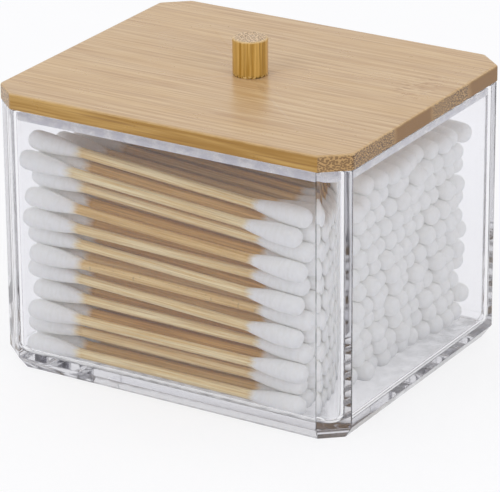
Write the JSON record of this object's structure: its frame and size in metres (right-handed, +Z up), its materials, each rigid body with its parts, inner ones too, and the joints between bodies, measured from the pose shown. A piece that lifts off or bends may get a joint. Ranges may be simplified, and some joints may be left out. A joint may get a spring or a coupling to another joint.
{
  "type": "cotton swab box",
  "caption": "Clear box with cut corners and a bevelled foot, a lift-off bamboo lid with a turned knob, filled with bamboo-stick cotton swabs that lie across it.",
  "frame": {"origin": "middle of the footprint, on the surface that the box stands on", "axes": "+X along the front, to the right, +Y from front to back, +Z up"},
  "size_m": [0.0936, 0.0786, 0.0778],
  "materials": {
    "clear_plastic": "gloss",
    "bamboo": "satin",
    "bamboo_stick": "matte",
    "cotton": "matte",
    "steel": "satin"
  },
  "bodies": {
    "box": {"container": "clear_plastic", "swab_sticks_row_01": "bamboo_stick", "swab_sticks_row_02": "bamboo_stick", "swab_sticks_row_03": "bamboo_stick", "swab_sticks_row_04": "bamboo_stick", "swab_sticks_row_05": "bamboo_stick", "swab_sticks_row_06": "bamboo_stick", "swab_sticks_row_07": "bamboo_stick", "swab_sticks_row_08": "bamboo_stick", "swab_sticks_row_09": "bamboo_stick", "swab_sticks_row_10": "bamboo_stick", "swab_sticks_row_11": "bamboo_stick", "swab_sticks_row_12": "bamboo_stick", "swab_tips_row_01": "cotton", "swab_tips_row_02": "cotton", "swab_tips_row_03": "cotton", "swab_tips_row_04": "cotton", "swab_tips_row_05": "cotton", "swab_tips_row_06": "cotton", "swab_tips_row_07": "cotton", "swab_tips_row_08": "cotton", "swab_tips_row_09": "cotton", "swab_tips_row_10": "cotton", "swab_tips_row_11": "cotton", "swab_tips_row_12": "cotton"},
    "lid": {"lid_board": "bamboo", "lid_knob": "bamboo", "knob_screw": "steel", "locating_ring": "clear_plastic"}
  },
  "joints": [
    {"name": "lid_lift", "type": "slide", "parent": "box", "child": "lid", "axis": [0, 0, 1], "range_m": [0, 0.08]}
  ]
}
